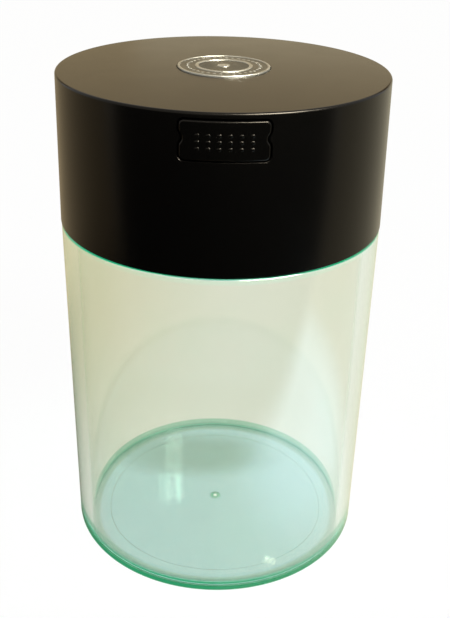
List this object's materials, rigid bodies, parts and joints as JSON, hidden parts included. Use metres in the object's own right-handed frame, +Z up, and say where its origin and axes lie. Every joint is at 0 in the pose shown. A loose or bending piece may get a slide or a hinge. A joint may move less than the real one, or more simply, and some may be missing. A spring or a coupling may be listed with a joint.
{
  "type": "vacuum canister",
  "caption": "Round food canister: clear thick-walled cup, deep push-on lid with a lip seal, and a rocking button in the lid's side that vents the vacuum.",
  "frame": {"origin": "centre of the foot ring, on the surface the canister stands on", "axes": "+Z up through the lid, -Y out of the button, +X to the right of someone facing the button"},
  "size_m": [0.1206, 0.1206, 0.1909],
  "materials": {
    "clear_cup": "clear green-tinted plastic, polished",
    "black_plastic": "satin black moulded plastic with a fine grain",
    "silver_badge": "brushed silver",
    "white_silicone": "translucent white silicone, smooth",
    "grey_silicone": "grey silicone, matt",
    "steel": "stainless, drawn"
  },
  "bodies": {
    "canister": {"canister_body": "clear_cup", "rim_seal": "white_silicone"},
    "lid": {"lid_shell": "black_plastic", "lid_badge": "silver_badge", "return_spring": "steel"},
    "button": {"rocker_button": "black_plastic", "pivot_pin": "steel", "valve_plug": "grey_silicone"}
  },
  "joints": [
    {"name": "lid_lift", "type": "slide", "parent": "canister", "child": "lid", "axis": [0, 0, 1], "range_m": [0, 0.16]},
    {"name": "button_rock", "type": "hinge", "parent": "lid", "child": "button", "pos_m": [0, -0.05643, 0.1818], "axis": [1, 0, 0], "range_deg": [0, 6.5], "stiffness_Nm_per_rad": 0.0055, "springref_deg": -7.73, "deforming": ["return_spring"]}
  ]
}
